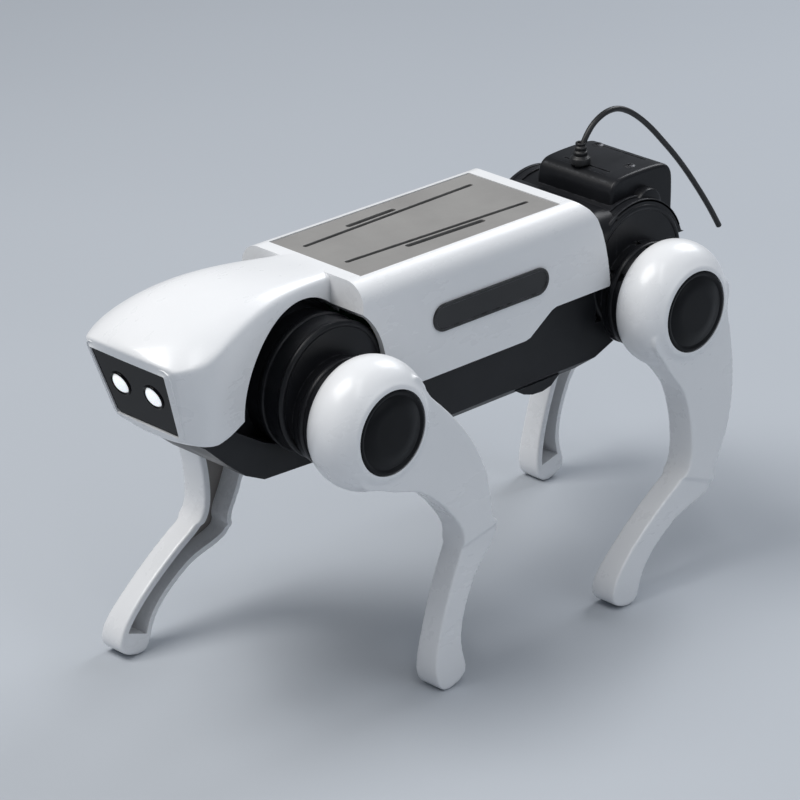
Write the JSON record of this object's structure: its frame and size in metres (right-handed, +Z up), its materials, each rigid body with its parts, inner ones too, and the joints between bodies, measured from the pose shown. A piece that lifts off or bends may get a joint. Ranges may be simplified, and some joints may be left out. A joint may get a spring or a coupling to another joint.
{
  "type": "quadruped robot dog",
  "caption": "Small four-legged walking robot toy with a hooded head, two round eyes, a vented back, rocking legs on round hips and a wire antenna.",
  "frame": {"origin": "on the ground, under the centre of the box that holds the dog without its antenna wire", "axes": "+Z up, the dog faces -Y, its left side is +X"},
  "size_m": [0.076, 0.2037, 0.1141],
  "materials": {
    "white_shell": "satin gloss moulded ABS",
    "black_shell": "satin moulded ABS",
    "visor_gloss": "high gloss",
    "eye_white": "frosted lens",
    "led_clear": "clear epoxy",
    "grey_panel": "fine moulded texture",
    "badge_black": "satin",
    "cell_jacket": "printed foil jacket, plain",
    "steel": "ground",
    "plated_steel": "zinc plated",
    "gear_nylon": "natural nylon",
    "brass": "turned",
    "board_green": "solder mask",
    "chip_black": "epoxy",
    "screw_black": "black zinc",
    "wire_black": "insulation",
    "cap_black": "satin"
  },
  "bodies": {
    "torso": {"head_shell": "white_shell", "visor": "visor_gloss", "eye_lens_left": "eye_white", "eye_lens_right": "eye_white", "eye_leds": "led_clear", "chin_cover": "black_shell", "back_shell": "white_shell", "vent_panel": "grey_panel", "badge_left": "badge_black", "badge_right": "badge_black", "chassis": "black_shell", "battery_cell_left": "cell_jacket", "battery_cell_right": "cell_jacket", "battery_contacts": "steel", "battery_door": "black_shell", "battery_door_screw": "screw_black", "receiver_board": "board_green", "board_parts": "chip_black", "switch_body": "plated_steel", "motor_can": "plated_steel", "motor_end_cap": "gear_nylon", "idler_pins": "steel", "front_drum_left": "black_shell", "front_drum_right": "black_shell", "rear_drum_left": "black_shell", "rear_drum_right": "black_shell", "gearbox_front": "black_shell", "gearbox_cover": "black_shell", "antenna_grommet": "wire_black", "antenna_wire": "wire_black", "shell_screws": "screw_black"},
    "switch": {"switch_slider": "black_shell"},
    "motor_rotor": {"motor_shaft": "steel", "motor_pinion": "brass"},
    "first_gear": {"gear_first": "gear_nylon"},
    "second_gear": {"gear_second": "gear_nylon"},
    "crank": {"gear_final": "gear_nylon", "crank_shaft": "steel", "crank_left": "black_shell", "crank_right": "black_shell"},
    "left_rod": {"rod_left": "steel"},
    "right_rod": {"rod_right": "steel"},
    "left_link": {"link_left": "steel"},
    "right_link": {"link_right": "steel"},
    "front_left_leg": {"leg_front_left": "white_shell", "hip_cap_front_left": "cap_black", "hip_axle_front_left": "steel"},
    "front_right_leg": {"leg_front_right": "white_shell", "hip_cap_front_right": "cap_black", "hip_axle_front_right": "steel"},
    "rear_left_leg": {"leg_rear_left": "white_shell", "hip_cap_rear_left": "cap_black", "hip_axle_rear_left": "steel"},
    "rear_right_leg": {"leg_rear_right": "white_shell", "hip_cap_rear_right": "cap_black", "hip_axle_rear_right": "steel"}
  },
  "joints": [
    {"name": "crank_turn", "type": "hinge", "parent": "torso", "child": "crank", "pos_m": [0, 0.04073, 0.072], "axis": [1, 0, 0], "continuous": true},
    {"name": "second_gear_turn", "type": "hinge", "parent": "torso", "child": "second_gear", "pos_m": [0.002, 0.04661, 0.08106], "axis": [1, 0, 0], "continuous": true},
    {"name": "first_gear_turn", "type": "hinge", "parent": "torso", "child": "first_gear", "pos_m": [0.014, 0.05637, 0.08569], "axis": [1, 0, 0], "continuous": true},
    {"name": "motor_turn", "type": "hinge", "parent": "torso", "child": "motor_rotor", "pos_m": [0, 0.06323, 0.0935], "axis": [1, 0, 0], "continuous": true},
    {"name": "left_rod_turn", "type": "hinge", "parent": "crank", "child": "left_rod", "pos_m": [0.0074, 0.03891, 0.07267], "axis": [1, 0, 0], "continuous": true},
    {"name": "right_rod_turn", "type": "hinge", "parent": "crank", "child": "right_rod", "pos_m": [-0.0074, 0.0426, 0.07146], "axis": [1, 0, 0], "continuous": true},
    {"name": "rear_left_swing", "type": "hinge", "parent": "torso", "child": "rear_left_leg", "pos_m": [0.03, 0.05723, 0.07335], "axis": [1, 0, 0], "range_deg": [0, 34]},
    {"name": "rear_right_swing", "type": "hinge", "parent": "torso", "child": "rear_right_leg", "pos_m": [-0.03, 0.05723, 0.07335], "axis": [1, 0, 0], "range_deg": [-34, 0]},
    {"name": "front_left_swing", "type": "hinge", "parent": "torso", "child": "front_left_leg", "pos_m": [0.03, -0.04647, 0.07335], "axis": [1, 0, 0], "range_deg": [-34, 0]},
    {"name": "front_right_swing", "type": "hinge", "parent": "torso", "child": "front_right_leg", "pos_m": [-0.03, -0.04647, 0.07335], "axis": [1, 0, 0], "range_deg": [0, 34]},
    {"name": "left_link_turn", "type": "hinge", "parent": "rear_left_leg", "child": "left_link", "pos_m": [0.0158, 0.05518, 0.06666], "axis": [1, 0, 0], "range_deg": [-34, 0]},
    {"name": "right_link_turn", "type": "hinge", "parent": "rear_right_leg", "child": "right_link", "pos_m": [-0.0158, 0.05928, 0.06666], "axis": [1, 0, 0], "range_deg": [0, 34]},
    {"name": "switch_slide", "type": "slide", "parent": "torso", "child": "switch", "axis": [1, 0, 0], "range_m": [0, 0.003]}
  ],
  "couplings": [
    {"joint": "second_gear_turn", "follows": "crank_turn", "ratio": -3.5},
    {"joint": "first_gear_turn", "follows": "crank_turn", "ratio": 12.25},
    {"joint": "motor_turn", "follows": "crank_turn", "ratio": -51.45},
    {"joint": "left_rod_turn", "follows": "crank_turn", "ratio": -1},
    {"joint": "right_rod_turn", "follows": "crank_turn", "ratio": -1},
    {"joint": "rear_right_swing", "follows": "rear_left_swing", "ratio": -1},
    {"joint": "front_left_swing", "follows": "rear_left_swing", "ratio": -1},
    {"joint": "front_right_swing", "follows": "rear_left_swing", "ratio": 1},
    {"joint": "left_link_turn", "follows": "rear_left_swing", "ratio": -1},
    {"joint": "right_link_turn", "follows": "rear_left_swing", "ratio": 1}
  ]
}
